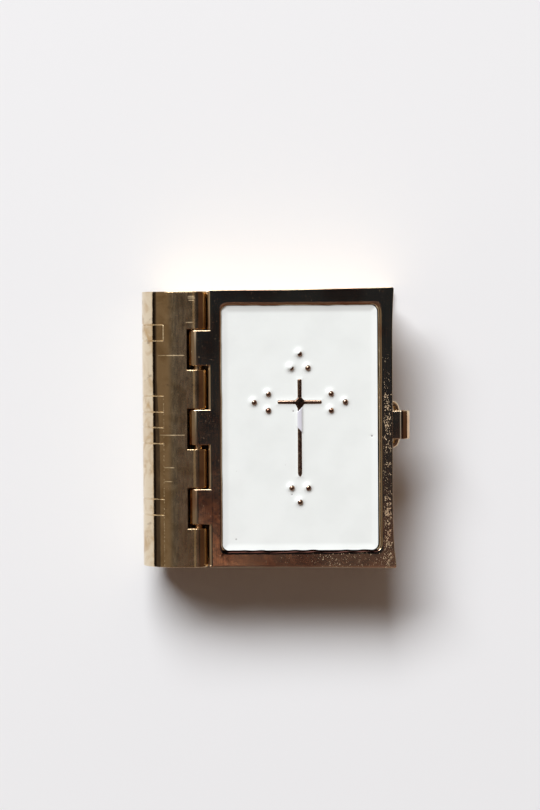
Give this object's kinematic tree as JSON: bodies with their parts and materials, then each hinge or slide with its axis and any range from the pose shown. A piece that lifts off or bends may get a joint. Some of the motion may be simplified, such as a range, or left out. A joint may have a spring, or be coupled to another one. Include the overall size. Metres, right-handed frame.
{
  "type": "prayer book",
  "caption": "Miniature prayer book in a hinged gilt-metal case with a white enamel cover, raised cross, snap clasp and a sewn paper booklet.",
  "frame": {"origin": "centre of the closed object's box, on the surface that the back cover lies on", "axes": "+X from the spine to the fore edge, +Y to the head of the book, +Z out of the front cover"},
  "size_m": [0.0368, 0.0386, 0.0115],
  "materials": {
    "gilt_metal": "polished gilt metal with fine wear",
    "worn_gilt_metal": "satin gilt metal, rubbed and scratched",
    "white_enamel": "glossy poured enamel",
    "booklet_leather": "fine grained dark red leather",
    "page_paper": "uncoated cream paper",
    "linen": "plain linen",
    "end_band_silk": "corded silk"
  },
  "bodies": {
    "case": {"back_cover": "gilt_metal", "spine_shell": "worn_gilt_metal", "spine_cap_head": "worn_gilt_metal", "spine_cap_tail": "worn_gilt_metal", "inner_web": "worn_gilt_metal", "head_wall": "gilt_metal", "tail_wall": "gilt_metal", "fore_edge_wall": "gilt_metal", "catch_bar": "gilt_metal", "hinge_pin": "gilt_metal", "booklet_back_board": "booklet_leather", "booklet_spine_strip": "booklet_leather", "back_endpaper": "page_paper", "spine_lining": "linen", "sewing_threads": "linen", "headband": "end_band_silk", "tailband": "end_band_silk", "page_section_1": "page_paper", "page_section_2": "page_paper", "page_section_3": "page_paper", "page_section_4": "page_paper", "page_section_5": "page_paper", "page_section_6": "page_paper"},
    "front_cover": {"front_cover": "gilt_metal", "enamel_panel": "white_enamel", "raised_cross": "gilt_metal", "raised_beads": "gilt_metal", "clasp_tab": "gilt_metal"},
    "booklet_front": {"booklet_front_board": "booklet_leather"},
    "leaf_6": {"leaf_6": "page_paper"},
    "leaf_5": {"leaf_5": "page_paper"},
    "leaf_4": {"leaf_4": "page_paper"},
    "leaf_3": {"leaf_3": "page_paper"},
    "leaf_2": {"leaf_2": "page_paper"},
    "leaf_1": {"leaf_1": "page_paper"}
  },
  "joints": [
    {"name": "front_cover_hinge", "type": "hinge", "parent": "case", "child": "front_cover", "pos_m": [-0.01063, 0, 0.0102], "axis": [0, -1, 0], "range_deg": [0, 92]},
    {"name": "booklet_front_turn", "type": "hinge", "parent": "case", "child": "booklet_front", "pos_m": [-0.00734, 0, 0.009], "axis": [0, -1, 0], "range_deg": [0, 83]},
    {"name": "leaf_6_turn", "type": "hinge", "parent": "case", "child": "leaf_6", "pos_m": [-0.00734, 0, 0.00865], "axis": [0, -1, 0], "range_deg": [0, 73.8]},
    {"name": "leaf_5_turn", "type": "hinge", "parent": "case", "child": "leaf_5", "pos_m": [-0.00734, 0, 0.00835], "axis": [0, -1, 0], "range_deg": [0, 62.8]},
    {"name": "leaf_4_turn", "type": "hinge", "parent": "case", "child": "leaf_4", "pos_m": [-0.00734, 0, 0.00805], "axis": [0, -1, 0], "range_deg": [0, 50.8]},
    {"name": "leaf_3_turn", "type": "hinge", "parent": "case", "child": "leaf_3", "pos_m": [-0.00734, 0, 0.00775], "axis": [0, -1, 0], "range_deg": [0, 38.8]},
    {"name": "leaf_2_turn", "type": "hinge", "parent": "case", "child": "leaf_2", "pos_m": [-0.00734, 0, 0.00745], "axis": [0, -1, 0], "range_deg": [0, 26.9]},
    {"name": "leaf_1_turn", "type": "hinge", "parent": "case", "child": "leaf_1", "pos_m": [-0.00734, 0, 0.00715], "axis": [0, -1, 0], "range_deg": [0, 14.9]}
  ],
  "couplings": [
    {"joint": "booklet_front_turn", "follows": "front_cover_hinge", "ratio": 0.9},
    {"joint": "leaf_6_turn", "follows": "front_cover_hinge", "ratio": 0.8},
    {"joint": "leaf_5_turn", "follows": "front_cover_hinge", "ratio": 0.68},
    {"joint": "leaf_4_turn", "follows": "front_cover_hinge", "ratio": 0.55},
    {"joint": "leaf_3_turn", "follows": "front_cover_hinge", "ratio": 0.42},
    {"joint": "leaf_2_turn", "follows": "front_cover_hinge", "ratio": 0.29},
    {"joint": "leaf_1_turn", "follows": "front_cover_hinge", "ratio": 0.16}
  ]
}
